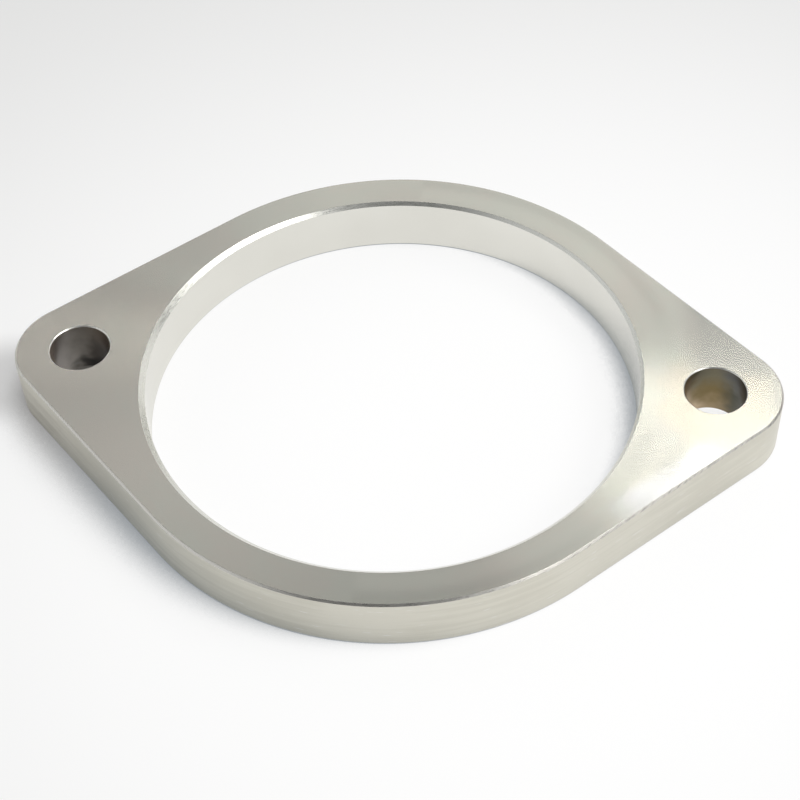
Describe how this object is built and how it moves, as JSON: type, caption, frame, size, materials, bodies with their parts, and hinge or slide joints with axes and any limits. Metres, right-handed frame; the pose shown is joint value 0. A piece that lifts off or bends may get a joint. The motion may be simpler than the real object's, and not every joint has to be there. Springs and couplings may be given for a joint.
{
  "type": "two-bolt flange",
  "caption": "Flat flange plate for a round tube: a ring about a large bore with a chamfered rim, drawn out at each side into a rounded bolt lug.",
  "frame": {"origin": "on the bore's axis, in the plane of the back face", "axes": "+Z along the bore towards the chamfered front face, +X towards one bolt lug"},
  "size_m": [0.161, 0.1204, 0.0125],
  "materials": {
    "satin_steel": "fine satin brushed stainless steel, with straw and blue heat tint inside the bolt holes"
  },
  "bodies": {
    "root": {"flange_plate": "satin_steel"}
  },
  "joints": []
}
